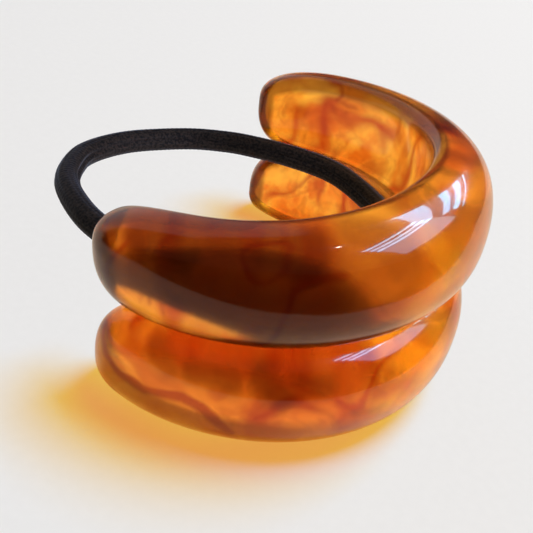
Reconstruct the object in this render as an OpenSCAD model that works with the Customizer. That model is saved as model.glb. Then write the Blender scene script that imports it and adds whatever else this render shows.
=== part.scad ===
// Ponytail cuff: a C of clear resin cast as two puffed lobes, one above the other,
// with a loop of round elastic held inside at the middle of the arc.
// The open side of the C faces -X. The cuff stands on its lower lobe, and since the
// lobes get slimmer towards the tips, it leans a little towards its open side.

/* [Cuff plan] */
// Radius of the inner wall
inner_r = 18.8; // [17:0.1:21]
// Angle from the middle of the arc to each tip, in degrees
tip_angle = 112; // [104:1:120]

/* [Lobe at the middle of the arc] */
// Depth from the inner wall to the fullest line
depth_mid = 8; // [6.5:0.1:9.5]
// Height of the fullest line above the crease
full_mid = 6.3; // [5.5:0.1:7.5]
// Height from the fullest line up to the outer edge
rise_mid = 8; // [6.5:0.1:9]

/* [Lobe near the tips] */
// Depth from the inner wall to the fullest line
depth_tip = 5.7; // [4.5:0.1:7]
// Height of the fullest line above the crease
full_tip = 7; // [6:0.1:8]
// Height from the fullest line up to the outer edge
rise_tip = 4.1; // [3.5:0.1:6]

/* [Crease and notch] */
// How far each lobe reaches over the crease in the middle, where the two are one
web_mid = 0.1; // [0.05:0.05:0.5]
// Half of the gap between the two lobes at the tips
gap_tip = 0.7; // [0.3:0.1:1.5]

/* [Rounding] */
// Radius of the rounded edge around the inner face
edge_r = 1.5; // [0.8:0.1:2]
// Length over which a tip is rounded off at its outer edge
round_rise = 10; // [6:0.5:13]
// Length over which a tip is rounded off at the notch
round_drop = 7; // [4:0.5:10]
// Length over which a tip thins to its end
round_depth = 4.4; // [3:0.1:7]

/* [Elastic] */
// Diameter of the elastic
elastic_d = 3; // [2.6:0.1:3.2]
// Length of the keeper that holds its two ends
keeper_len = 7; // [6:0.5:7]
// Diameter of the keeper
keeper_d = 4.4; // [3.8:0.1:4.4]

/* [Fineness] */
// Sections along the arc
sections = 64; // [40:2:72]
// Steps round the outside of one lobe
outer_steps = 18; // [12:1:20]

/* [Hidden] */

// How square the section and the tips are: 2 is an ellipse, more is squarer.
bulge_power = 2.4;
rise_power = 2.8;
drop_power = 2.8;
depth_power = 2.2;
// How late along the arc the lobes part: a higher power keeps them joined for longer.
part_power = 6;
// Share of the arc over which the taper starts, so that the middle has no ridge.
taper_start = 0.25;

edge_steps = 4;
edge_share = 0.45;
arc_len = inner_r * tip_angle * PI / 180;

// Points of the elastic's centre line, in the cuff's own frame, from one end of the
// keeper past the +Y tip, round the open side and back past the -Y tip.
route = [
    [inner_r - 2.4, keeper_len / 2, 0],
    [15, 7.5, 1], [11, 12, 1], [5.5, 15, 1.5], [-1, 16, 1.5], [-7.5, 16.5, 1],
    [-11.5, 16.5, 0.5], [-16, 15, 0.2], [-20.5, 10.5, 0.5], [-22.5, 6.5, 1], [-23.5, 2, 1.5],
    [-23, -2, 2], [-20.5, -7.5, 2.6], [-16, -12, 3.1], [-11, -15, 3.3], [-4.5, -16.4, 3.1],
    [2, -16.5, 2.6], [8, -15, 2], [13, -11, 1.1], [15, -7.5, 0.6],
    [inner_r - 2.4, -keeper_len / 2, 0]];
tube_sides = 8;

seat_gap = 0.2;
foot_len = 5;
foot_h = 3.6;

// A value that goes from its middle figure to its tip figure along the arc.
function along(mid, tip, share) = mid + (tip - mid) * share;

// 0 in the middle and 1 at a tip: level at first, then nearly straight.
function taper(u) =
    (sqrt(pow(u, 2) + pow(taper_start, 2)) - taper_start)
    / (sqrt(1 + pow(taper_start, 2)) - taper_start);

// 1 inside the piece, falling to 0 at its end over the length given.
function rounded(to_end, length, power) =
    to_end >= length ? 1 : pow(1 - pow(1 - to_end / length, power), 1 / power);

// Half of one cross-section, as [distance out from the inner wall, height],
// from the crease inside, up the inner wall and over the bulge to the crease outside.
function half_section(s) =
    let (u = abs(s),
         to_end = (1 - u) * arc_len,
         full = along(full_mid, full_tip, taper(u)),
         rise = along(rise_mid, rise_tip, taper(u)) * rounded(to_end, round_rise, rise_power),
         drop = (full + along(web_mid, -gap_tip, pow(u, part_power)))
                * rounded(to_end, round_drop, drop_power),
         bulge = (along(depth_mid, depth_tip, taper(u)) - edge_r)
                 * rounded(to_end, round_depth, depth_power),
         inset = edge_r * rounded(to_end, edge_r, 2),
         edge_z = min(edge_r, edge_share * min(rise, drop)),
         joined = drop > full,
         // Where the lower edge meets the crease plane, on the inner edge and on the bulge
         a_in = joined ? acos(max(0, 1 - (drop - full) / edge_z)) : 0,
         a_out = joined ? -asin(pow(full / drop, bulge_power / 2)) : -90,
         low = joined ? 0 : full - drop,
         first = [edge_r - inset * sin(a_in), low])
    concat(
        [first],
        [for (k = [1:edge_steps]) let (a = a_in + (90 - a_in) * k / edge_steps)
            [edge_r - inset * sin(a), full - drop + edge_z - edge_z * cos(a)]],
        [for (k = [0:edge_steps]) let (a = 90 - 90 * k / edge_steps)
            [edge_r - inset * sin(a), full + rise - edge_z + edge_z * cos(a)]],
        [for (k = [1:outer_steps - 1]) let (a = 90 + (a_out - 90) * k / outer_steps)
            bulge_point(a, bulge, full, rise, drop)],
        [joined ? [bulge_point(a_out, bulge, full, rise, drop)[0], 0] : first]);

function bulge_point(a, bulge, full, rise, drop) =
    [edge_r + bulge * pow(cos(a), 2 / bulge_power),
     full + (a > 0 ? rise : -drop) * pow(abs(sin(a)), 2 / bulge_power)];

// Sections lie closer together towards the tips, where the shape changes fastest.
function place(i) = sin(90 * (2 * i / sections - 1));

function placed(p, angle, side) =
    [(inner_r + p[0]) * cos(angle), (inner_r + p[0]) * sin(angle), side * p[1]];

per_section = 2 * edge_steps + 1 + outer_steps + 1;

// All points of one half, section by section: the upper lobe has side 1, the lower -1.
function half_points(side) =
    [for (i = [0:sections]) for (p = half_section(place(i)))
        placed(p, tip_angle * place(i), side)];

upper_points = half_points(1);
lower_points = half_points(-1);

function low_of(i) = half_section(place(i))[0][1];

// Triangles of one half. The strip between the halves stays open where they join,
// and where the lobes part, one triangle each closes the bottom of the notch.
function half_faces(start, flip) =
    let (n = per_section,
         faces = concat(
             [for (i = [0:sections - 1]) for (j = [0:n - 2])
                 let (a = start + i * n + j)
                 for (t = [[a, a + 1, a + n + 1], [a, a + n + 1, a + n]]) t],
             [for (i = [0:sections - 1])
                 let (a = start + i * n, here = low_of(i) == 0, next = low_of(i + 1) == 0)
                 if (here != next)
                     here ? [a + n - 1, a, a + n] : [a, a + n, a + 2 * n - 1]]))
    [for (t = faces) flip ? [t[0], t[2], t[1]] : t];

// How the cuff stands: it leans about the foot of its middle section until its two
// sides touch down, then it is lifted onto the ground and centred between its ends.
foot = [inner_r + edge_r, -full_mid - rise_mid];
lean = min([for (p = lower_points) if (p[0] < foot[0] / 2) atan2(p[2] - foot[1], foot[0] - p[0])]);
lift = -foot[0] * sin(lean) - foot[1] * cos(lean);
reach = [for (p = concat(upper_points, lower_points)) p[0] * cos(lean) - p[2] * sin(lean)];
mid_x = (min(reach) + max(reach)) / 2;

module standing() translate([-mid_x, 0, lift]) rotate([0, -lean, 0]) children();

module cuff() color([0.72, 0.33, 0.06]) standing() polyhedron(
    points = concat(upper_points, lower_points),
    faces = concat(half_faces(0, true), half_faces((sections + 1) * per_section, false)));

// A plain barrel round the elastic's two ends, on a foot that follows the inner wall.
module elastic_keeper() color([0.09, 0.08, 0.08]) standing() {
    translate([route[0][0], 0, 0]) rotate([90, 0, 0])
        cylinder(d = keeper_d, h = keeper_len, center = true, $fn = 48);
    intersection() {
        translate([route[0][0], -foot_len / 2, -foot_h / 2]) cube([keeper_d, foot_len, foot_h]);
        cylinder(r = inner_r - seat_gap, h = 2 * foot_h, center = true, $fn = 96);
    }
}

function unit(v) = v / norm(v);

// The elastic leaves the keeper straight along Y at both ends.
function heading(i) =
    i == 0 || i == len(route) - 1 ? [0, 1, 0] : unit(route[i + 1] - route[i - 1]);

function ring(i) =
    let (side = unit(cross(heading(i), [0, 0, 1])), up = cross(side, heading(i)))
    [for (k = [0:tube_sides - 1]) let (a = 360 * k / tube_sides)
        route[i] + elastic_d / 2 * (cos(a) * side + sin(a) * up)];

module elastic_loop() color([0.03, 0.03, 0.035]) standing() polyhedron(
    points = [for (i = [0:len(route) - 1]) for (p = ring(i)) p],
    faces = concat(
        [[for (k = [tube_sides - 1:-1:0]) k]],
        [for (i = [0:len(route) - 2]) for (k = [0:tube_sides - 1])
            let (a = i * tube_sides + k, b = i * tube_sides + (k + 1) % tube_sides)
            for (t = [[a, b + tube_sides, a + tube_sides], [a, b, b + tube_sides]]) t],
        [[for (k = [0:tube_sides - 1]) (len(route) - 1) * tube_sides + k]]));

cuff();
elastic_keeper();
elastic_loop();
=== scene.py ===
# %% [markdown]
# A ponytail cuff. It is a C of clear amber resin, cast as two puffed lobes that lie one
# above the other, with a loop of round black elastic held inside at the middle of the
# arc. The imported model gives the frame: every piece below is made in metres, where the
# solids say that it lies.

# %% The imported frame
import bpy
import math
import numpy as np
from mathutils import Matrix, Vector


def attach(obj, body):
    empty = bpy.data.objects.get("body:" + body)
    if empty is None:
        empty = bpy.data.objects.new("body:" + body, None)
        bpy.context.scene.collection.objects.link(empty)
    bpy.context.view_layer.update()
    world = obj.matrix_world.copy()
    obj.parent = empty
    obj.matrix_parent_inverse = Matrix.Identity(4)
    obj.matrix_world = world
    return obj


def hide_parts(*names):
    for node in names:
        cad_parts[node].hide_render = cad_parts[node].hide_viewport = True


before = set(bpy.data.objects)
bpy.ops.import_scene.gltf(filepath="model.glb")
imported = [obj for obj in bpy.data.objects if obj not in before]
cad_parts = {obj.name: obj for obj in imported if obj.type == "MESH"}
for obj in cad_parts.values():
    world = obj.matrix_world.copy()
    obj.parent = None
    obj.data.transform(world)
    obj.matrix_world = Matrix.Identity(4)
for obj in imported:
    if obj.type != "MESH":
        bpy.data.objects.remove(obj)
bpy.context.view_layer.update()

mm = 0.001

# %% [markdown]
# The cuff's own frame is simple: the centre of its round inner wall is the origin, the
# crease between the lobes is the plane Z = 0 and the open side faces -X. The lobes get
# slimmer towards the tips, so the cuff stands leaning towards the open side. Shapes are
# made in the cuff's own frame, and one matrix then stands their points up.

# %% How the cuff stands
lean = math.radians(6.92)
stand_up = Matrix.Translation((-9.37 * mm, 0, 11.75 * mm)) @ Matrix.Rotation(-lean, 4, "Y")
print("the cuff leans by", round(math.degrees(lean), 2), "degrees")

# %% [markdown]
# The camera stands close and looks down on the side of one tip. Its place, the point it
# looks at and its turn about its own line of sight give the view. No shift is needed.

# %% The camera
camera_place = Vector((11.5, -73.2, 63.4)) * mm
looks_at = Vector((-4.2, -7.0, 12.0)) * mm
camera_turn = math.radians(16.0)

camera = bpy.data.objects.new("camera", bpy.data.cameras.new("camera"))
bpy.context.collection.objects.link(camera)
camera.data.lens = 51.6
camera.data.sensor_width = 36
camera.data.clip_start = 1 * mm
sight = (looks_at - camera_place).to_track_quat("-Z", "Y")
camera.matrix_world = (Matrix.Translation(camera_place) @ sight.to_matrix().to_4x4()
                       @ Matrix.Rotation(camera_turn, 4, "Z"))
bpy.context.scene.camera = camera
print("camera is", round((looks_at - camera_place).length / mm), "mm from the cuff")

# %% [markdown]
# Geometry Nodes work out both main shapes, because both follow a rule. A rule is easier
# to read as a formula than as a heap of nodes, so a small class stands for a number that
# varies over the mesh, and its arithmetic adds the Math nodes.

# %% Formulas that build Math nodes
class Field:
    """A number that varies over a mesh or a surface, as a socket in a tree."""

    def __init__(self, tree, socket):
        self.tree = tree
        self.socket = socket


def math_node(operation, *values):
    tree = next(value.tree for value in values if isinstance(value, Field))
    node = tree.nodes.new("ShaderNodeMath")
    node.operation = operation
    for socket, value in zip(node.inputs, values):
        if isinstance(value, Field):
            tree.links.new(value.socket, socket)
        else:
            socket.default_value = value
    return Field(tree, node.outputs[0])


for symbol, operation in (("add", "ADD"), ("sub", "SUBTRACT"), ("mul", "MULTIPLY"),
                          ("truediv", "DIVIDE"), ("pow", "POWER")):
    setattr(Field, f"__{symbol}__", lambda a, b, op=operation: math_node(op, a, b))
    setattr(Field, f"__r{symbol}__", lambda a, b, op=operation: math_node(op, b, a))


def sin(a):
    return math_node("SINE", a)


def cos(a):
    return math_node("COSINE", a)


def least(a, b):
    return math_node("MINIMUM", a, b)


def most(a, b):
    return math_node("MAXIMUM", a, b)


def pick(test, yes, no):
    """One value where the test is 1, and the other where it is 0."""
    return no + (yes - no) * test


# %% [markdown]
# Each tree starts as a flat grid, and Set Position rolls it up. The first helper makes
# the tree with its named inputs, and the second makes the grid. The places across and
# along the grid go from 0 to 1, and both shapes are formulas of these two numbers.


# %% Trees and grids
def new_tree(name, sizes):
    tree = bpy.data.node_groups.new(name, "GeometryNodeTree")
    tree.interface.new_socket("Geometry", in_out="INPUT", socket_type="NodeSocketGeometry")
    for size in sizes:
        tree.interface.new_socket(size, in_out="INPUT", socket_type="NodeSocketFloat")
    tree.interface.new_socket("Material", in_out="INPUT", socket_type="NodeSocketMaterial")
    tree.interface.new_socket("Geometry", in_out="OUTPUT", socket_type="NodeSocketGeometry")
    given = tree.nodes.new("NodeGroupInput")
    fields = {size: Field(tree, given.outputs[size]) for size in sizes}
    return tree, given, fields


def flat_grid(tree, columns, rows):
    grid = tree.nodes.new("GeometryNodeMeshGrid")
    grid.inputs["Size X"].default_value = 1
    grid.inputs["Size Y"].default_value = 1
    grid.inputs["Vertices X"].default_value = columns + 1
    grid.inputs["Vertices Y"].default_value = rows + 1
    place = tree.nodes.new("GeometryNodeInputPosition")
    split = tree.nodes.new("ShaderNodeSeparateXYZ")
    tree.links.new(place.outputs[0], split.inputs[0])
    across = Field(tree, split.outputs[0]) + 0.5
    along = Field(tree, split.outputs[1]) + 0.5
    return grid.outputs["Mesh"], across, along


# %% [markdown]
# Most nodes need no more than a kind and what goes into each socket, so one helper makes
# any of them. Vectors have helpers of their own, which take numbers, sockets or fields.


# %% Nodes in one line
def vector(x, y, z):
    tree = next(value.tree for value in (x, y, z) if isinstance(value, Field))
    join = tree.nodes.new("ShaderNodeCombineXYZ")
    for socket, value in zip(join.inputs, (x, y, z)):
        if isinstance(value, Field):
            tree.links.new(value.socket, socket)
        else:
            socket.default_value = value
    return join.outputs[0]


def node(tree, kind, **links):
    """A node whose named inputs are linked to sockets or set to plain values."""
    made = tree.nodes.new(kind)
    for name, value in links.items():
        socket = made.inputs[name.replace("_", " ")]
        if isinstance(value, bpy.types.NodeSocket):
            tree.links.new(value, socket)
        else:
            socket.default_value = value
    return made


def vector_math(tree, operation, *values):
    """A Vector Math node. A value is a socket, a vector or a field, as SCALE takes."""
    made = tree.nodes.new("ShaderNodeVectorMath")
    made.operation = operation
    sockets = [made.inputs[0], made.inputs["Scale"]] if operation == "SCALE" else made.inputs
    for socket, value in zip(sockets, values):
        if isinstance(value, Field):
            tree.links.new(value.socket, socket)
        elif isinstance(value, bpy.types.NodeSocket):
            tree.links.new(value, socket)
        else:
            socket.default_value = value
    if operation in ("DOT_PRODUCT", "DISTANCE"):
        return Field(tree, made.outputs["Value"])
    return made.outputs["Vector"]


# %% [markdown]
# A tree ends by making its instances real and giving them their material. What it makes
# is then kept as a plain mesh, since a mesh can be measured, exported and moved as it is.
# A modifier's inputs are set by the identifier of each socket, before it first runs.


# %% From a tree to a plain mesh
def finish_tree(tree, given, mesh):
    smooth = node(tree, "GeometryNodeSetShadeSmooth", Geometry=mesh)
    real = node(tree, "GeometryNodeRealizeInstances", Geometry=smooth.outputs[0])
    dressed = node(tree, "GeometryNodeSetMaterial", Geometry=real.outputs[0],
                   Material=given.outputs["Material"])
    out = tree.nodes.new("NodeGroupOutput")
    tree.links.new(dressed.outputs[0], out.inputs[0])


def plain_piece(name, tree, sizes, material, start=None):
    """Run a tree on a start mesh, keep the result as a plain mesh and stand it up."""
    piece = bpy.data.objects.new(name, start or bpy.data.meshes.new(name))
    bpy.context.collection.objects.link(piece)
    modifier = piece.modifiers.new(name, "NODES")
    modifier.node_group = tree
    for socket in tree.interface.items_tree:
        if socket.in_out == "INPUT" and socket.name in sizes:
            modifier[socket.identifier] = sizes[socket.name]
        if socket.in_out == "INPUT" and socket.name == "Material":
            modifier[socket.identifier] = material
    evaluated = piece.evaluated_get(bpy.context.evaluated_depsgraph_get())
    mesh = bpy.data.meshes.new_from_object(evaluated)
    piece.modifiers.remove(modifier)
    piece.data = mesh
    mesh.transform(stand_up)
    print(name, "has", len(mesh.polygons), "faces")
    return piece


# %% [markdown]
# A material here is a Principled BSDF with a few nodes in front of it. Noise gives a
# pattern, Map Range makes a soft mask of it, and Mix blends two colours by that mask.


# %% Materials, masks and colours
def new_material(name):
    material = bpy.data.materials.new(name)
    material.use_nodes = True
    return material, material.node_tree, material.node_tree.nodes["Principled BSDF"]


def noise(tree, place, scale, detail, roughness=0.5):
    return node(tree, "ShaderNodeTexNoise", Vector=place, Scale=scale, Detail=detail,
                Roughness=roughness)


def shade_between(tree, value, low, high):
    """0 where the value is at its low figure, 1 at its high one, smooth between."""
    made = node(tree, "ShaderNodeMapRange", Value=value, From_Min=low, From_Max=high)
    made.interpolation_type = "SMOOTHSTEP"
    return made.outputs[0]


def blend_colours(tree, share, first, second):
    made = tree.nodes.new("ShaderNodeMix")
    made.data_type = "RGBA"
    tree.links.new(share, made.inputs["Factor"])
    for colour, socket in ((first, made.inputs[6]), (second, made.inputs[7])):
        if isinstance(colour, bpy.types.NodeSocket):
            tree.links.new(colour, socket)
        else:
            socket.default_value = colour
    return made.outputs[2]


# %% [markdown]
# Three finishes here have a fine grain: the fibres of the elastic, the moulded plastic of
# the keeper and the paint of the floor. One node group makes it, as a value near the
# middle that varies with Object coordinates, and each material uses it in its own way.

# %% Fine grain group
grain_group = bpy.data.node_groups.new("fine_grain", "ShaderNodeTree")
for socket, kind in (("Vector", "NodeSocketVector"), ("Scale", "NodeSocketFloat"),
                     ("Contrast", "NodeSocketFloat")):
    grain_group.interface.new_socket(socket, in_out="INPUT", socket_type=kind)
grain_group.interface.new_socket("Grain", in_out="OUTPUT", socket_type="NodeSocketFloat")
given = grain_group.nodes.new("NodeGroupInput")
speckle = noise(grain_group, given.outputs["Vector"], given.outputs["Scale"], detail=3)
centred = Field(grain_group, speckle.outputs[0]) - 0.5
grain_value = centred * Field(grain_group, given.outputs["Contrast"]) + 0.5
result = grain_group.nodes.new("NodeGroupOutput")
grain_group.links.new(grain_value.socket, result.inputs["Grain"])
print("fine_grain group has", len(grain_group.nodes), "nodes")


def fine_grain(tree, scale, contrast):
    """Place the group in a material and return its grain."""
    placed = tree.nodes.new("ShaderNodeGroup")
    placed.node_tree = grain_group
    placed.inputs["Scale"].default_value = scale
    placed.inputs["Contrast"].default_value = contrast
    where = tree.nodes.new("ShaderNodeTexCoord").outputs["Object"]
    tree.links.new(where, placed.inputs["Vector"])
    return placed.outputs["Grain"]


# %% [markdown]
# The elastic's cover is knitted from dull black yarn. Seen close it isn't one black: the
# yarn is a warm, nearly black brown, and fine loose fibres on it catch a little cold light
# at a slant. Fibres could be modelled as hair, but at this size a fine grain between two
# dark colours does as well, and the shader's sheen is made for such fuzz.

# %% Elastic material
yarn_dark = (0.003, 0.0025, 0.0025, 1)
yarn_light = (0.020, 0.014, 0.011, 1)
fibre_range = (0.3, 0.7)
elastic_cover, tree, shader = new_material("elastic_cover")
fibres = shade_between(tree, fine_grain(tree, scale=3500, contrast=1.8), *fibre_range)
tree.links.new(blend_colours(tree, fibres, yarn_dark, yarn_light), shader.inputs["Base Color"])
shader.inputs["Roughness"].default_value = 0.7
shader.inputs["Specular IOR Level"].default_value = 0.15
shader.inputs["Sheen Weight"].default_value = 0.2
shader.inputs["Sheen Roughness"].default_value = 0.3
shader.inputs["Sheen Tint"].default_value = (0.5, 0.66, 1, 1)
print("elastic cover has", len(tree.nodes), "nodes")

# %% [markdown]
# The elastic is a fixed length of cord: it leaves one end of the keeper, runs inside the
# arc to one tip, loops through the open side and comes back to the keeper's other end.
# Its route is the one in the solids, point by point.

# %% Elastic route
elastic_d = 3 * mm
keeper_end = 3.5 * mm
keeper_x = 16.4 * mm
in_keeper = 1 * mm
route = [
    (keeper_x, keeper_end - in_keeper, 0), (keeper_x, keeper_end, 0),
    (0.0150, 0.0075, 0.0010), (0.0110, 0.0120, 0.0010), (0.0055, 0.0150, 0.0015),
    (-0.0010, 0.0160, 0.0015), (-0.0075, 0.0165, 0.0010), (-0.0115, 0.0165, 0.0005),
    (-0.0160, 0.0150, 0.0002), (-0.0205, 0.0105, 0.0005), (-0.0225, 0.0065, 0.0010),
    (-0.0235, 0.0020, 0.0015), (-0.0230, -0.0020, 0.0020), (-0.0205, -0.0075, 0.0026),
    (-0.0160, -0.0120, 0.0031), (-0.0110, -0.0150, 0.0033), (-0.0045, -0.0164, 0.0031),
    (0.0020, -0.0165, 0.0026), (0.0080, -0.0150, 0.0020), (0.0130, -0.0110, 0.0011),
    (0.0150, -0.0075, 0.0006),
    (keeper_x, -keeper_end, 0), (keeper_x, in_keeper - keeper_end, 0)]
print("elastic route has", len(route), "points")

# %% [markdown]
# The cover is knitted: fine columns of V-shaped stitches run along the cord, and one
# deeper groove between two columns follows the inner side of the loop. An image could
# fake it. Here all of it is real relief, cut into the round, so that it also shows in the
# mesh and in its outline.

# %% Knitted relief
elastic_sizes = {"Diameter": elastic_d, "Stitch length": 0.62 * mm,
                 "Stitch depth": 0.08 * mm, "Groove depth": 0.28 * mm}
stitch_columns = 12
stitch_swell = 0.15
groove_angle = math.radians(160)
groove_width = math.radians(16)
print("one stitch is", round(elastic_sizes["Stitch length"] / mm, 2), "mm long")


def knit_radius(size, along, angle, length):
    """The cord's radius with its stitches and its groove."""
    column = math_node("FRACT", (angle - groove_angle) / math.tau * stitch_columns)
    off_column = math_node("ABSOLUTE", column * 2 - 1)
    bead = (1 - off_column ** 2) ** 0.5
    phase = along * length / size["Stitch length"] + off_column * 0.5
    stitch = bead * (cos(phase * math.tau) * stitch_swell + (1 - stitch_swell))
    from_groove = math_node("ABSOLUTE", angle - groove_angle)
    groove = 1 - least(from_groove / groove_width, 1.0) ** 2
    return (size["Diameter"] * 0.5 - (1 - stitch) * size["Stitch depth"]
            - groove * size["Groove depth"])


# %% [markdown]
# A Catmull-Rom spline passes through every point, and one more point inside the keeper at
# each end makes the elastic leave it straight. The tree lays a grid along that spline,
# rolls it round it and draws both ends shut.

# %% Elastic tree
elastic_rings = 1240
elastic_steps = 72
spline_points = 400
end_merge = 0.001 * mm


def smooth_line(tree, line):
    """A line of straight edges as an even Catmull-Rom spline."""
    curve = node(tree, "GeometryNodeMeshToCurve", Mesh=line)
    bent = node(tree, "GeometryNodeCurveSplineType", Curve=curve.outputs[0])
    bent.spline_type = "CATMULL_ROM"
    even = node(tree, "GeometryNodeResampleCurve", Curve=bent.outputs[0], Count=spline_points)
    return even.outputs[0]


def elastic_tree():
    tree, given, size = new_tree("elastic_along_route", elastic_sizes)
    mesh, along, around = flat_grid(tree, elastic_rings, elastic_steps)
    line = smooth_line(tree, given.outputs["Geometry"])
    length = Field(tree, node(tree, "GeometryNodeCurveLength", Curve=line).outputs[0])
    sample = node(tree, "GeometryNodeSampleCurve", Curves=line, Factor=along.socket)
    sample.mode = "FACTOR"
    tangent = sample.outputs["Tangent"]
    side = vector_math(tree, "NORMALIZE", vector_math(tree, "CROSS_PRODUCT", tangent, (0, 0, 1)))
    up = vector_math(tree, "CROSS_PRODUCT", side, tangent)

    angle = around * math.tau
    from_middle = math_node("ABSOLUTE", along - 0.5)
    not_at_end = math_node("LESS_THAN", from_middle, 0.5 - 0.5 / elastic_rings)
    radius = knit_radius(size, along, angle, length) * not_at_end
    sideways = vector_math(tree, "SCALE", side, cos(angle) * radius)
    upwards = vector_math(tree, "SCALE", up, sin(angle) * radius)
    outwards = vector_math(tree, "ADD", sideways, upwards)
    place = vector_math(tree, "ADD", outwards, sample.outputs["Position"])
    placed = node(tree, "GeometryNodeSetPosition", Geometry=mesh, Position=place)
    closed = node(tree, "GeometryNodeMergeByDistance", Geometry=placed.outputs[0],
                  Distance=end_merge)
    finish_tree(tree, given, closed.outputs[0])
    return tree


# %% [markdown]
# The finished cover takes the place of the plain tube. Both its ends are held in the
# keeper, and its route where the cuff stands gives its length.

# %% Elastic
route_line = bpy.data.meshes.new("elastic_route")
route_line.from_pydata(route, [(i, i + 1) for i in range(len(route) - 1)], [])
elastic = plain_piece("elastic_loop_cover", elastic_tree(), elastic_sizes, elastic_cover,
                      route_line)
elastic_path = [stand_up @ Vector(point) for point in route]
elastic_length = sum((b - a).length for a, b in zip(elastic_path, elastic_path[1:]))
print("elastic length", round(elastic_length / mm, 1), "mm")

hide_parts("elastic_loop")
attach(elastic, "root")

# %% [markdown]
# The resin is tortoiseshell: clear golden amber, with red-brown clouds, thin dark veins and
# smoke stirred into it before it set. The real marbling fills the whole depth. A volume
# could hold it, but volumes render slowly and can't be exported. So the casting is real
# glass shading, and its surface tints the light on the way in and on the way out: looking
# through the piece, the eye adds the two layers up to one cloudy depth. The darker a colour
# is, the redder it is too, because amber swallows blue light first and then green.

# %% Resin: its colours
golden = (1.0, 0.46, 0.045, 1)
amber = (0.78, 0.15, 0.007, 1)
deep_red = (0.32, 0.015, 0.001, 1)
smoke = (0.025, 0.0015, 0.0002, 1)
# The rim colour is painted shade along the polished edge, not a colour of the resin.
rim_shade_brown = (0.06, 0.014, 0.001, 1)
print("from golden to smoke, red falls from", golden[0], "to", smoke[0])

# %% [markdown]
# Stirred clouds have no straight lines. A soft noise pushes the place about at which a
# pattern is looked up, and the pattern comes out in swirls, as a stick would draw them.
# The push is centred, so that a pattern stays where it is put.


# %% Resin: stirring
def stirred(tree, where, scale, reach, detail=2):
    """The place pushed about by a soft noise, at most half of the reach each way."""
    push = noise(tree, where, scale, detail).outputs["Color"]
    whole = Vector((reach, reach, reach))
    moved = vector_math(tree, "MULTIPLY_ADD", push, whole, where)
    return vector_math(tree, "SUBTRACT", moved, whole / 2)


resin, tree, shader = new_material("amber_resin")
where = tree.nodes.new("ShaderNodeTexCoord").outputs["Object"]
swept = stirred(tree, where, scale=60, reach=12 * mm)
swirled = stirred(tree, swept, scale=130, reach=5 * mm)
gently = stirred(tree, where, scale=150, reach=3 * mm, detail=6)
barely = stirred(tree, where, scale=400, reach=0.8 * mm, detail=4)
print("stirring has", len(tree.nodes), "nodes")

# %% [markdown]
# Noise gives marbling of the right kind, but this casting also has clouds and streaks of
# its own that one knows it by. Some streaks here also stand for light and shade: a clear
# golden turn that is painted light, and darker clouds on the near side that are partly
# painted shade. An image could paint them. A streak along a line between two points says
# the same with a few numbers, and stirring its place roughens its edge.


# %% Resin: a streak between two points
def streak_at(tree, where, start, end, inner, outer):
    """1 within the inner distance of the line between two points, 0 beyond the outer one."""
    start = Vector(start) * mm
    line = Vector(end) * mm - start
    place = vector_math(tree, "SUBTRACT", where, start)
    along = vector_math(tree, "DOT_PRODUCT", place, line / line.length_squared)
    share = least(most(along, 0.0), 1.0)
    foot = vector_math(tree, "SCALE", line, share)
    away = vector_math(tree, "DISTANCE", place, foot)
    return Field(tree, shade_between(tree, away.socket, outer * mm, inner * mm))


def with_streaks(pattern, place, streaks):
    """A pattern with streaks on it, each a start, an end, two distances and a strength."""
    for start, end, inner, outer, strength in streaks:
        streak = streak_at(pattern.tree, place, start, end, inner, outer)
        pattern = most(pattern, streak * strength)
    return pattern


# %% [markdown]
# The streaks are given in millimetres, where the finished cuff stands. Each has a start,
# an end, the distance up to which it is full, the distance at which it has faded, and mostly
# a strength. The near lobe is darkest in the middle of its bulge: partly its own smoke and
# partly painted shade, since that side is turned away from the key light. The lobe below
# has a wavy dark outline near its lower edge, and the turn of the arc on the right is
# painted clear and golden, as painted light where the lamps shine through it.

# %% Resin: what lies where
# The clear golden turn on the right is painted light, where the lamps shine through it.
lit_turn = ((14, -9, 23), (14, -4, 25), 6, 13)
veined_foot = ((-10, -24, 7), (6, -20, 6), 3, 7, 0.8)
amber_clouds = (
    ((-13, -22, 21), (8, -18, 22), 4, 9, 0.9), ((-6, -24, 8), (9, -18, 8), 3, 8, 0.9),
    ((12, -14.5, 10.5), (15, -9.5, 12), 1.5, 4.5, 0.9),
    ((12.4, -11.3, 25), (13, -12.5, 21.7), 1, 3.5, 0.7))
# On the near lobes these red clouds are partly the resin's own and partly painted shade.
red_and_shade_clouds = (
    ((-10.5, -22.8, 22.2), (-6, -23.5, 23), 2.5, 5, 0.8),
    ((-6, -23.5, 23), (4, -20.5, 23), 3, 7, 0.7), ((6, -20, 21), (11, -14.5, 23.5), 2, 4.5, 0.8),
    ((5, -18, 25), (10, -13, 26), 1, 4, 0.5), ((-5, -22, 12), (8, -17, 12), 2.5, 6, 0.95),
    ((-8.8, -23.3, 10.6), (-6.5, -24.2, 9.5), 0.8, 3, 0.8),
    ((-4, -23.6, 10), (8, -19.4, 11), 1, 3.5, 0.8),
    ((-5, -24.5, 7.5), (4, -22.5, 8), 0.5, 3, 0.5),
    ((-12, -24.2, 5.2), (6, -22.5, 4.3), 1.2, 3, 0.7))
threads = (
    ((-10.5, -25, 16.9), (-10.9, -21.9, 11.1), 0.1, 0.6, 0.5),
    ((-9.5, -25, 17), (-9.6, -22, 11.3), 0.1, 0.5, 0.6),
    ((-8.3, -25, 17.1), (-7.8, -24.1, 14), 0.1, 0.5, 0.5))
wavy_outline = (
    (-15.3, -21.7, 8.6), (-13.7, -23.5, 6.7), (-11.5, -24.7, 5.7), (-8.5, -25.1, 5.6),
    (-6.3, -25.1, 6.3), (-4.4, -24.9, 6.9), (-2.6, -24.6, 6.6), (-1, -24.3, 5.5),
    (0.9, -23.6, 3.7))
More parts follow.
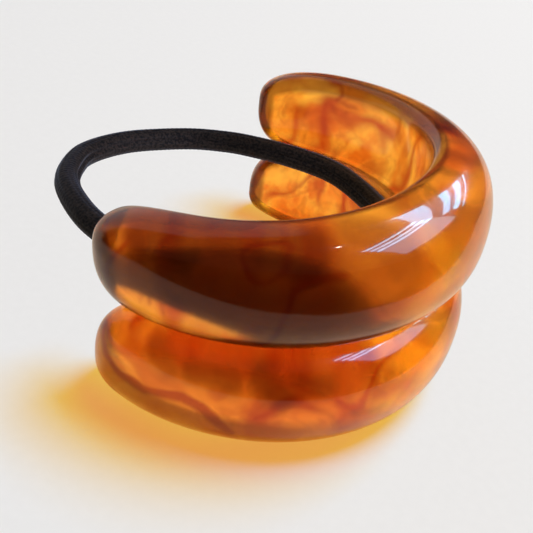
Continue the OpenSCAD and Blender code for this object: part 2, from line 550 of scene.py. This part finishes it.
# These smoke clouds are partly the resin's own smoke and partly painted shade, darkest in the
# middle of the near bulge.
smoke_and_shade_clouds = (
    ((-11.5, -23.5, 22.4), (-8, -23.5, 23), 1.5, 3.5, 0.85),
    ((-7, -21.5, 24.5), (2, -19.9, 25.3), 1.5, 4.5, 0.8),
    ((2, -19.9, 25.3), (8, -16.5, 25.5), 1, 4.5, 0.5),
    ((5.1, -15.8, 26.5), (9.4, -15.2, 25), 1, 3.5, 0.6),
    ((7, -18.8, 22.5), (10.5, -15.5, 23), 1, 3.5, 0.4),
    ((-16, -20.5, 21.6), (-5, -18.7, 25), 2, 4, 0.9),
    ((-5, -18.7, 25), (-1, -17.5, 25.5), 1, 3, 0.5),
    ((-8.6, -23.6, 10.3), (-6.8, -24.3, 9.3), 0.4, 2.5, 0.6),
    ((-4.6, -23.7, 10), (-0.5, -23.2, 10.3), 0.6, 2.6, 0.75),
    ((-1.3, -23.2, 10.6), (2.1, -22, 11), 0.2, 2, 0.6),
    ((2.1, -22, 11), (4.5, -21.6, 9.9), 0.5, 3, 0.85),
    ((5.2, -20.6, 11), (7.4, -19.3, 11), 0.5, 2.5, 0.75),
    ((12.5, -14.2, 10.5), (14.5, -10.5, 12), 1, 4, 0.35))


def outlined(inner, outer, strength):
    """The wavy outline as streaks from point to point."""
    return tuple((a, b, inner, outer, strength) for a, b in zip(wavy_outline, wavy_outline[1:]))


print("clouds and threads:", len(amber_clouds + red_and_shade_clouds + threads + smoke_and_shade_clouds))

# %% [markdown]
# Three masks hold the marbling, and each lays the next darker colour over the last. Amber
# clouds are the high parts of a noise. Red veins run where a noise crosses its middle,
# which it does along closed curves, as contour lines do on a map, and they fade into a red
# mist. Smoke is the peaks alone. The placed streaks go into the same masks, so these also
# carry the painted light of the golden turn and the painted shade on the near side.


# %% Resin: the marbling, with painted light and shade
def line_of(tree, pattern, width):
    """1 along the lines where a noise crosses its middle, falling to 0 beside them."""
    off_middle = math_node("ABSOLUTE", Field(tree, pattern) - 0.5)
    return Field(tree, shade_between(tree, off_middle.socket, width, 0.0))


amber_range = (0.43, 0.62)
patch_range = (0.42, 0.58)
mist_range = (0.48, 0.66)
smoke_range = (0.64, 0.80)
vein_width = 0.1
wisp_width = 0.08
wisp_strength = 0.4
mist_strength = 0.75
smoke_strength = 0.6

mottle = noise(tree, swirled, scale=140, detail=5, roughness=0.6).outputs[0]
veins = noise(tree, swirled, scale=110, detail=0).outputs[0]
wisps = noise(tree, swirled, scale=240, detail=2).outputs[0]
patches = noise(tree, swept, scale=70, detail=2).outputs[0]
# Away from the painted light of the golden turn, the marbling stays as it is.
off_lit_turn = 1 - streak_at(tree, gently, *lit_turn)

# These masks carry the painted light of the golden turn and the painted shade of the clouds.
amber_and_painted_light = Field(tree, shade_between(tree, mottle, *amber_range)) * off_lit_turn
amber_and_painted_light = with_streaks(amber_and_painted_light, gently, amber_clouds)
patchy = Field(tree, shade_between(tree, patches, *patch_range))
patchy = with_streaks(patchy, gently, [veined_foot])
red_mist = Field(tree, shade_between(tree, wisps, *mist_range)) * mist_strength
lines = most(line_of(tree, veins, vein_width), line_of(tree, wisps, wisp_width) * wisp_strength)
veins_light_and_shade = most(lines, red_mist) * patchy * off_lit_turn
veins_light_and_shade = with_streaks(veins_light_and_shade, gently, red_and_shade_clouds)
veins_light_and_shade = with_streaks(veins_light_and_shade, barely, threads + outlined(0.3, 1.3, 1))
smoke_light_and_shade = Field(tree, shade_between(tree, mottle, *smoke_range)) * off_lit_turn * smoke_strength
smoke_light_and_shade = with_streaks(smoke_light_and_shade, gently, smoke_and_shade_clouds)
smoke_light_and_shade = with_streaks(smoke_light_and_shade, barely, outlined(0.2, 1, 0.45))

# The blend holds the marbling together with its painted light and shade.
marbling_light_and_shade = blend_colours(tree, amber_and_painted_light.socket, golden, amber)
marbling_light_and_shade = blend_colours(tree, veins_light_and_shade.socket, marbling_light_and_shade, deep_red)
marbling_light_and_shade = blend_colours(tree, smoke_light_and_shade.socket, marbling_light_and_shade, smoke)
print("marbling has", len(tree.nodes), "nodes")

# %% [markdown]
# Round the inner face runs a darker rim, where one looks along the polished edge. It is
# painted shade, for the long way that light takes through the amber there. The cuff's mesh
# carries it as an attribute, because only the mesh knows how far a point is from that edge.
# The surface itself is a clear gloss over a slightly soft cut: rough glass blurs what lies
# behind it, as fine clouds do, and a sharp clear coat keeps the shine.

# %% Resin: painted rim shade and surface
# Painted shade: the rim's mask darkens the colour along the polished edge.
rim_shade_strength = 0.85
edge = tree.nodes.new("ShaderNodeAttribute")
edge.attribute_name = "rim"
rim_shaded = Field(tree, edge.outputs["Fac"]) * rim_shade_strength
tree.links.new(blend_colours(tree, rim_shaded.socket, marbling_light_and_shade, rim_shade_brown),
               shader.inputs["Base Color"])
shader.inputs["Specular Tint"].default_value = (0.1, 0.1, 0.1, 1)
shader.inputs["Roughness"].default_value = 0.16
shader.inputs["Coat Weight"].default_value = 0.5
shader.inputs["Coat Roughness"].default_value = 0.0
shader.inputs["Coat IOR"].default_value = 1.5
shader.inputs["IOR"].default_value = 1.48
shader.inputs["Transmission Weight"].default_value = 0.92
print("resin bends light by", round(shader.inputs["IOR"].default_value, 2))

# %% [markdown]
# Inside, the amber absorbs light by depth, so thick places come out deeper than thin
# ones. Glass shading bends light too much for a lamp to be found through it, and a shadow
# would come out black. For shadow rays alone the surface is therefore plainly transparent.
# The absorption still colours those rays, which throws the amber patch on the floor.

# %% Resin: depth and shadow
absorb = tree.nodes.new("ShaderNodeVolumeAbsorption")
absorb.inputs["Color"].default_value = (0.97, 0.66, 0.12, 1)
absorb.inputs["Density"].default_value = 25
out = tree.nodes["Material Output"]
tree.links.new(absorb.outputs[0], out.inputs["Volume"])
path_kind = tree.nodes.new("ShaderNodeLightPath")
let_through = tree.nodes.new("ShaderNodeBsdfTransparent")
let_through.inputs["Color"].default_value = (0.985, 0.78, 0.09, 1)
either = tree.nodes.new("ShaderNodeMixShader")
tree.links.new(path_kind.outputs["Is Shadow Ray"], either.inputs["Fac"])
tree.links.new(shader.outputs[0], either.inputs[1])
tree.links.new(let_through.outputs[0], either.inputs[2])
tree.links.new(either.outputs[0], out.inputs["Surface"])
print("amber resin has", len(tree.nodes), "nodes")

# %% [markdown]
# The cuff is one casting. Its cross-section is flat inside, puffed outside and rounded
# at the two edges of the inner face. Going out along the arc the lobes get slimmer, then
# part at the notch, and each ends in a blunt rounded tip. The tree works one half out
# from these sizes, mirrors it for the lower lobe and merges the two along the crease.

# %% Cuff sizes
cuff_sizes = {
    "Inner radius": 18.8 * mm, "Tip angle": math.radians(112),
    "Depth middle": 8.0 * mm, "Full middle": 6.3 * mm, "Rise middle": 8.0 * mm,
    "Depth tip": 5.7 * mm, "Full tip": 7.0 * mm, "Rise tip": 4.1 * mm,
    "Web middle": 0.1 * mm, "Gap tip": 0.7 * mm,
    "Edge radius": 1.5 * mm, "Round rise": 10 * mm, "Round drop": 7 * mm,
    "Round depth": 4.4 * mm}
print("inner wall is", round(2 * cuff_sizes["Inner radius"] / mm, 1), "mm across")

# %% [markdown]
# Three rules shape the lobes. A size goes from its middle figure to its tip figure. The
# taper starts level, so that the middle has no ridge. Near a tip every size is rounded
# off, and the power says how square that end is: 2 is an ellipse, and more is squarer.

# %% The cuff's rules
taper_start = 0.25


def between(middle, tip, share):
    return middle + (tip - middle) * share


def taper(u):
    top = ((u ** 2 + taper_start ** 2) ** 0.5) - taper_start
    return top / (math.sqrt(1 + taper_start ** 2) - taper_start)


def rounded(to_end, length, power):
    near = least(to_end / length, 1.0)
    return (1 - (1 - near) ** power) ** (1 / power)


# %% [markdown]
# A section of one lobe has a fullest line, where it is deepest. It rises from there to its
# top edge and drops to its lower edge. In the middle of the arc the drop reaches just past
# the crease, so the two lobes are joined. Towards the tips it ends short of the crease,
# which leaves the notch. The lobes part late along the arc, because that power is high.

# %% The section of one lobe
rise_power = 2.8
drop_power = 2.8
depth_power = 2.2
part_power = 6
joined_from = 0.001 * mm


def lobe_at(size, u, to_end):
    """Height of the fullest line, rise above it, drop below it and depth of the bulge."""
    full = between(size["Full middle"], size["Full tip"], taper(u))
    rise = (between(size["Rise middle"], size["Rise tip"], taper(u))
            * rounded(to_end, size["Round rise"], rise_power))
    web = between(size["Web middle"], size["Gap tip"] * -1, u ** part_power)
    drop = (full + web) * rounded(to_end, size["Round drop"], drop_power)
    depth = between(size["Depth middle"], size["Depth tip"], taper(u)) - size["Edge radius"]
    bulge = depth * rounded(to_end, size["Round depth"], depth_power)
    return full, rise, drop, bulge


def is_joined(full, drop):
    return math_node("GREATER_THAN", drop - full, joined_from)


# %% [markdown]
# One step along the section is one row of the grid. The first rows climb the lower edge,
# the inner wall and the top edge. Each edge is a quarter of a round, lower where the lobe
# itself is low. Where the lobes are joined, the lower edge starts at the crease. The tiny
# figure keeps a division away from zero.

# %% The inner face
edge_share = 0.45
edge_rows = 8
wall_rows = 10
inner_rows = 2 * edge_rows + wall_rows
quarter = math.pi / 2
tiny = 1e-9


def inner_face(edge, step, to_end, full, rise, drop):
    """Distance out and height, from the crease up the inner wall to the top edge."""
    inset = edge * rounded(to_end, edge, 2)
    edge_z = least(edge, least(rise, drop) * edge_share)
    start = is_joined(full, drop) * math_node(
        "ARCCOSINE", most(1 - (drop - full) / most(edge_z, tiny), 0.0))
    low_edge = least(step / edge_rows, 1.0)
    up_wall = least(most((step - edge_rows) / wall_rows, 0.0), 1.0)
    top_edge = least(most((step - edge_rows - wall_rows) / edge_rows, 0.0), 1.0)
    a_low = start + (quarter - start) * low_edge
    a_top = quarter - top_edge * quarter
    on_low = math_node("LESS_THAN", step, edge_rows + 0.5)
    on_top = math_node("GREATER_THAN", step, edge_rows + wall_rows - 0.5)
    out = edge - inset * sin(pick(on_low, a_low, a_top))
    z = (full - drop + edge_z * (1 - cos(a_low)) + (rise + drop - edge_z * 2) * up_wall
         + edge_z * cos(a_top) * on_top)
    return out, z


# %% [markdown]
# The other rows go over the bulge, from the top edge down to the crease outside or, beyond
# the notch, to the lower edge. The bulge is a little squarer than an ellipse.

# %% The outer bulge
bulge_power = 2.4
bulge_rows = 72


def outer_bulge(edge, step, full, rise, drop, bulge):
    """Distance out and height, from the top edge over the bulge to the crease outside."""
    meet = math_node("ARCSINE", least((full / most(drop, tiny)) ** (bulge_power / 2), 1.0))
    end = pick(is_joined(full, drop), meet * -1, -quarter)
    over = most((step - inner_rows) / bulge_rows, 0.0)
    angle = quarter + (end - quarter) * over
    rounding = 2 / bulge_power
    out = edge + bulge * most(cos(angle), 0.0) ** rounding
    upper = math_node("GREATER_THAN", angle, 0.0)
    z = full + pick(upper, rise, drop * -1) * math_node("ABSOLUTE", sin(angle)) ** rounding
    return out, z


# %% [markdown]
# The tree bends each section round the arc, with more sections towards the tips, where the
# shape changes fastest. The first and the last section shrink to a point, which closes the
# tips. The tree also stores how near each point is to the rim of the inner face, where the
# resin paints its shade. The mirrored half has its faces turned over, and the two halves are
# merged along the crease into one closed casting.

# %% Cuff tree
arc_columns = 320
tip_shut = 0.00001 * mm
rim_shade_full = 1.6 * mm
rim_shade_fades = 2.3 * mm
crease_bare = 0.8 * mm
bulge_bare = 0.7 * mm
crease_merge = 0.0002 * mm


def mirrored_casting(tree, half):
    lower = node(tree, "GeometryNodeTransform", Geometry=half, Scale=(1, 1, -1))
    lower = node(tree, "GeometryNodeFlipFaces", Mesh=lower.outputs[0])
    both = tree.nodes.new("GeometryNodeJoinGeometry")
    tree.links.new(half, both.inputs[0])
    tree.links.new(lower.outputs[0], both.inputs[0])
    cast = node(tree, "GeometryNodeMergeByDistance", Geometry=both.outputs[0],
                Distance=crease_merge)
    return node(tree, "GeometryNodeFlipFaces", Mesh=cast.outputs[0]).outputs[0]


def cuff_tree():
    tree, given, size = new_tree("cuff_half_and_mirror", cuff_sizes)
    mesh, across, along = flat_grid(tree, arc_columns, inner_rows + bulge_rows)
    s = sin((across * 2 - 1) * quarter)
    u = math_node("ABSOLUTE", s)
    arc = size["Inner radius"] * size["Tip angle"]
    to_end = most((1 - u) * arc - tip_shut, 0.0)
    full, rise, drop, bulge = lobe_at(size, u, to_end)
    step = along * (inner_rows + bulge_rows)
    edge = size["Edge radius"]
    out_in, z_in = inner_face(edge, step, to_end, full, rise, drop)
    out_over, z_over = outer_bulge(edge, step, full, rise, drop, bulge)
    on_bulge = math_node("GREATER_THAN", step, inner_rows + 0.5)
    reach = size["Inner radius"] + pick(on_bulge, out_over, out_in)
    z = pick(on_bulge, z_over, z_in)
    turn = s * size["Tip angle"]
    place = vector(reach * cos(turn), reach * sin(turn), z)

    # How near a point is to the rim, where the resin's painted shade goes.
    to_edge = least(z_in - full + drop + crease_bare, full + rise - z_in)
    from_rim = pick(on_bulge, out_over + bulge_bare, least(to_edge, to_end))
    rim = shade_between(tree, from_rim.socket, rim_shade_fades, rim_shade_full)
    marked = node(tree, "GeometryNodeStoreNamedAttribute", Geometry=mesh, Name="rim",
                  Value=rim)
    upper = node(tree, "GeometryNodeSetPosition", Geometry=marked.outputs[0], Position=place)
    finish_tree(tree, given, mirrored_casting(tree, upper.outputs[0]))
    return tree


# %% [markdown]
# The finished casting takes the place of the plain one. Its box and the box of the solid
# both come from the same sizes.

# %% Cuff
cuff = plain_piece("cuff_resin", cuff_tree(), cuff_sizes, resin)
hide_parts("cuff")
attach(cuff, "root")

# %% [markdown]
# The keeper is a small moulded barrel of black plastic that holds both ends of the
# elastic. Its solid has the right shape, so it stays and gets a satin finish with the
# fine grain of a mould.

# %% Keeper
mould_dark = (0.012, 0.011, 0.011, 1)
mould_light = (0.03, 0.028, 0.027, 1)
satin_range = (-0.6, 1.9)
keeper_black, tree, shader = new_material("keeper_plastic")
grain = fine_grain(tree, scale=2500, contrast=0.8)
colour = blend_colours(tree, grain, mould_dark, mould_light)
tree.links.new(colour, shader.inputs["Base Color"])
tree.links.new(shade_between(tree, grain, *satin_range), shader.inputs["Roughness"])
pebble = node(tree, "ShaderNodeBump", Strength=0.25, Distance=0.05 * mm, Height=grain)
tree.links.new(pebble.outputs[0], shader.inputs["Normal"])
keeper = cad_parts["elastic_keeper"]
keeper.data.materials.clear()
keeper.data.materials.append(keeper_black)

# %% [markdown]
# Two effects of these pieces are switched off. Rays that the dull floor sends into the
# resin would come back as a red glow all round it, much stronger than the real one. And
# the elastic and its keeper would draw a dark line across the amber patch on the floor,
# where the real elastic leaves none. A piece can be hidden from one kind of ray and stay
# in view of all others.

# %% Rays that pass a piece by
cuff.visible_diffuse = False
for piece in (elastic, keeper):
    piece.visible_shadow = False
print("no shadow from", elastic.name, "and", keeper.name)

# %% [markdown]
# The floor is plain and pale, with the faint grain of matt paint. Light Path tells its
# material what kind of ray has arrived, so the floor can do what a photographer does with
# cards. A reflection off the outside of the resin sees it warmer and dimmer, as painted
# shade for the amber shadow round the cuff, so that the lower side of each lobe doesn't
# turn milky. A ray that has come through the resin sees it glow, and the amber lights up
# from below.

# %% Floor
floor_width = 1.6
paint_dark = (0.84, 0.83, 0.82, 1)
paint_light = (0.9, 0.89, 0.88, 1)
# The floor as reflections see it is painted shade, warmer and dimmer.
floor_shade_mirrored = (0.75, 0.62, 0.5, 1)
black = (0, 0, 0, 1)
glow_from_below = (0.42, 0.42, 0.42, 1)


def outside_resin(ray):
    """1 for a ray that hasn't been through any glass yet, 0 for one that has."""
    depth = Field(ray.id_data, ray.outputs["Transmission Depth"])
    return math_node("LESS_THAN", depth, 0.5)


floor_paint, tree, shader = new_material("pale_floor")
grain = fine_grain(tree, scale=900, contrast=0.6)
colour = blend_colours(tree, grain, paint_dark, paint_light)
ray = tree.nodes.new("ShaderNodeLightPath")
mirrored = Field(tree, ray.outputs["Is Glossy Ray"]) * outside_resin(ray)
colour = blend_colours(tree, mirrored.socket, colour, floor_shade_mirrored)
tree.links.new(colour, shader.inputs["Base Color"])
shader.inputs["Roughness"].default_value = 0.9
glow = blend_colours(tree, ray.outputs["Is Transmission Ray"], black, glow_from_below)
tree.links.new(glow, shader.inputs["Emission Color"])
shader.inputs["Emission Strength"].default_value = 1
bpy.ops.mesh.primitive_plane_add(size=floor_width)
floor = bpy.context.object
floor.name = "floor"
floor.data.materials.append(floor_paint)
print("floor is", floor_width, "m wide")

# %% [markdown]
# Lamps stand on a dome round the cuff, each placed by the azimuth and the elevation at
# which the cuff sees it. A softbox is an area lamp, and its power follows from its size,
# so that a wider one looks no brighter. Light linking gives a lamp one piece to light.

# %% Lamps by direction
studio_radius = 1.2


def towards(azimuth, elevation):
    level = math.cos(math.radians(elevation))
    return Vector((level * math.cos(math.radians(azimuth)),
                   level * math.sin(math.radians(azimuth)),
                   math.sin(math.radians(elevation))))


def softbox(name, azimuth, elevation, wide, high, brightness, colour=(1, 1, 1)):
    """A level area lamp that fills so many degrees, as bright as a white of that value."""
    lamp = bpy.data.lights.new(name, "AREA")
    lamp.shape = "RECTANGLE"
    lamp.size = 2 * studio_radius * math.tan(math.radians(wide / 2))
    lamp.size_y = 2 * studio_radius * math.tan(math.radians(high / 2))
    lamp.energy = brightness * math.pi * lamp.size * lamp.size_y
    lamp.color = colour
    made = bpy.data.objects.new(name, lamp)
    bpy.context.collection.objects.link(made)
    place = towards(azimuth, elevation) * studio_radius
    made.matrix_world = (Matrix.Translation(place)
                         @ (-place).to_track_quat("-Z", "Y").to_matrix().to_4x4())
    return made


def only(piece):
    """A collection of this piece alone, for light linking."""
    alone = bpy.data.collections.new(piece.name)
    alone.objects.link(piece)
    return alone


# %% [markdown]
# The soft key light stands high behind the cuff on the right, and throws the amber patch
# on the floor to the front left. It is hidden from reflections, which would show it as a
# large white square.

# %% Key light
key = softbox("key", azimuth=60, elevation=70, wide=24, high=24, brightness=17.5)
key.visible_glossy = False
key.visible_transmission = False
print("key light is", round(key.data.size / mm), "mm wide")

# %% [markdown]
# The bright marks on the right of the resin are the reflection of a louvred softbox. It
# has two panes, each a stack of level strips, given here by elevation, height in degrees
# and brightness. Seen on the surface the panes are blue. Seen through the amber, blue
# would come out green, so there they are nearly white: a lamp can have a node tree of its
# own, and Light Path tells the two cases apart. A small lamp overhead makes the one white
# spark.

# %% Louvred panes and spark
far_strips = ((54, 9, 20), (42, 4, 22), (35, 4, 22), (29, 1, 22))
near_strips = ((61, 2, 29), (57, 2, 29), (53, 2, 29), (44, 26, 7))
pane_outside = (0.12, 0.58, 1, 1)
pane_inside = (0.42, 0.45, 0.5, 1)
strips = []
for name, azimuth, wide, pane in (("far_pane", 65, 26, far_strips),
                                  ("near_pane", 20, 36, near_strips)):
    for elevation, high, brightness in pane:
        strips.append(softbox(name, azimuth, elevation, wide, high, brightness))
for strip in strips:
    strip.data.use_nodes = True
    tree = strip.data.node_tree
    outside = outside_resin(tree.nodes.new("ShaderNodeLightPath"))
    colour = blend_colours(tree, outside.socket, pane_inside, pane_outside)
    tree.links.new(colour, tree.nodes["Emission"].inputs["Color"])
spark = softbox("spark", azimuth=-8, elevation=76, wide=2, high=2, brightness=60)
for lamp in strips + [spark]:
    lamp.visible_diffuse = False
    lamp.visible_transmission = False
    lamp.light_linking.receiver_collection = only(cuff)
print("strips:", len(strips))

# %% [markdown]
# A snoot is a lamp narrowed down to one thing. This one lies low on the right and puts
# the cold light on the elastic's fibres. Nothing but the elastic itself stands in its way.

# %% Snoot
cold = (0.62, 0.72, 1)
snoot = softbox("snoot", azimuth=-10, elevation=20, wide=30, high=30, brightness=16,
                colour=cold)
snoot.light_linking.receiver_collection = only(elastic)
snoot.light_linking.blocker_collection = only(elastic)
print("lamps:", len(strips) + 3)

# %% [markdown]
# The world is the studio's walls. A wall is a share of all directions: an azimuth cuts
# the sky in two halves, an elevation cuts it level, and shares are multiplied.

# %% Walls by direction
world = bpy.data.worlds.new("studio")
world.use_nodes = True
tree = world.node_tree
heading = tree.nodes.new("ShaderNodeTexCoord").outputs["Generated"]
upward = tree.nodes.new("ShaderNodeSeparateXYZ")
tree.links.new(heading, upward.inputs[0])
side_soft = 0.03


def side_of(azimuth):
    """1 for the half of all directions that this azimuth points into, soft at the edge."""
    along = vector_math(tree, "DOT_PRODUCT", heading, towards(azimuth, 0))
    return Field(tree, shade_between(tree, along.socket, -side_soft, side_soft))


def above(elevation, soft):
    """1 above this elevation, 0 below it, soft at the edge."""
    height = math.sin(math.radians(elevation))
    return Field(tree, shade_between(tree, upward.outputs["Z"], height - soft, height + soft))


# %% [markdown]
# Each kind of ray sees walls of its own. The floor and all that is dull get a faint even
# light. Reflections see a tall pale wall behind on the left and dimness elsewhere. Through
# the resin the walls look bright, the pale one brightest and the side of the panes next,
# because amber shows its colour only against light. Camera rays see a plain backdrop.

# %% Studio walls
wall_right = 118
wall_left = 180
wall_top = 61
panes_azimuth = 30
below_top = 1 - above(wall_top, soft=0.02)
wall_share = side_of(wall_right + 90) * side_of(wall_left - 90) * below_top
panes_share = side_of(panes_azimuth) * above(0, soft=0.1)
dim_reflected = (0.04, 0.04, 0.045, 1)
wall_reflected = (0.5, 0.5, 0.53, 1)
dim_through = (0.9, 0.9, 0.93, 1)
wall_through = (2.2, 2.2, 2.25, 1)
panes_through = (1.5, 1.55, 1.6, 1)
fill = (0.08, 0.08, 0.085, 1)
backdrop = (0.85, 0.86, 0.88, 1)

reflected = blend_colours(tree, wall_share.socket, dim_reflected, wall_reflected)
through = blend_colours(tree, wall_share.socket, dim_through, wall_through)
through = blend_colours(tree, panes_share.socket, through, panes_through)
ray = tree.nodes.new("ShaderNodeLightPath")
seen = blend_colours(tree, ray.outputs["Is Transmission Ray"], reflected, through)
seen = blend_colours(tree, ray.outputs["Is Diffuse Ray"], seen, fill)
seen = blend_colours(tree, ray.outputs["Is Camera Ray"], seen, backdrop)
tree.links.new(seen, tree.nodes["Background"].inputs["Color"])
bpy.context.scene.world = world
print("studio walls have", len(tree.nodes), "nodes")

# %% [markdown]
# A ray inside the resin turns back many times before it gets out, and each turn is a
# bounce. With the usual number it would give up and leave black spots. The Standard view
# shows the colours as they are, without a film look.

# %% Bounces and view
light_paths = bpy.context.scene.cycles
light_paths.max_bounces = 32
light_paths.glossy_bounces = 24
light_paths.transmission_bounces = 32
bpy.context.scene.view_settings.view_transform = "Standard"
print("bounces:", light_paths.max_bounces)

# %% [markdown]
# A low black card curves round the front and the right and is seen in reflections alone.
# It keeps the resin deep on the side of the camera. A photographer calls it a flag. Its
# line on the floor is in millimetres, from the left round the camera and off to the right.

# %% Black card
card_line = ((-115, -40), (-90, -85), (-55, -88), (-25, -70), (2, -56), (27, -44),
             (48, -24), (60, 0), (75, 25), (150, 106), (400, 380))
card_height = 40
corners = [(x * mm, y * mm, z * mm) for z in (0, card_height) for x, y in card_line]
n = len(card_line)
panels = [(i, i + 1, n + i + 1, n + i) for i in range(n - 1)]
card_mesh = bpy.data.meshes.new("black_card")
card_mesh.from_pydata(corners, [], panels)
card_paint, tree, shader = new_material("card_black")
shader.inputs["Base Color"].default_value = (0.005, 0.005, 0.005, 1)
shader.inputs["Roughness"].default_value = 1
shader.inputs["Specular IOR Level"].default_value = 0
card_mesh.materials.append(card_paint)
card = bpy.data.objects.new("black_card", card_mesh)
bpy.context.collection.objects.link(card)
card.visible_camera = False
card.visible_diffuse = False
card.visible_transmission = False
card.visible_shadow = False
print("card has", len(panels), "panels")
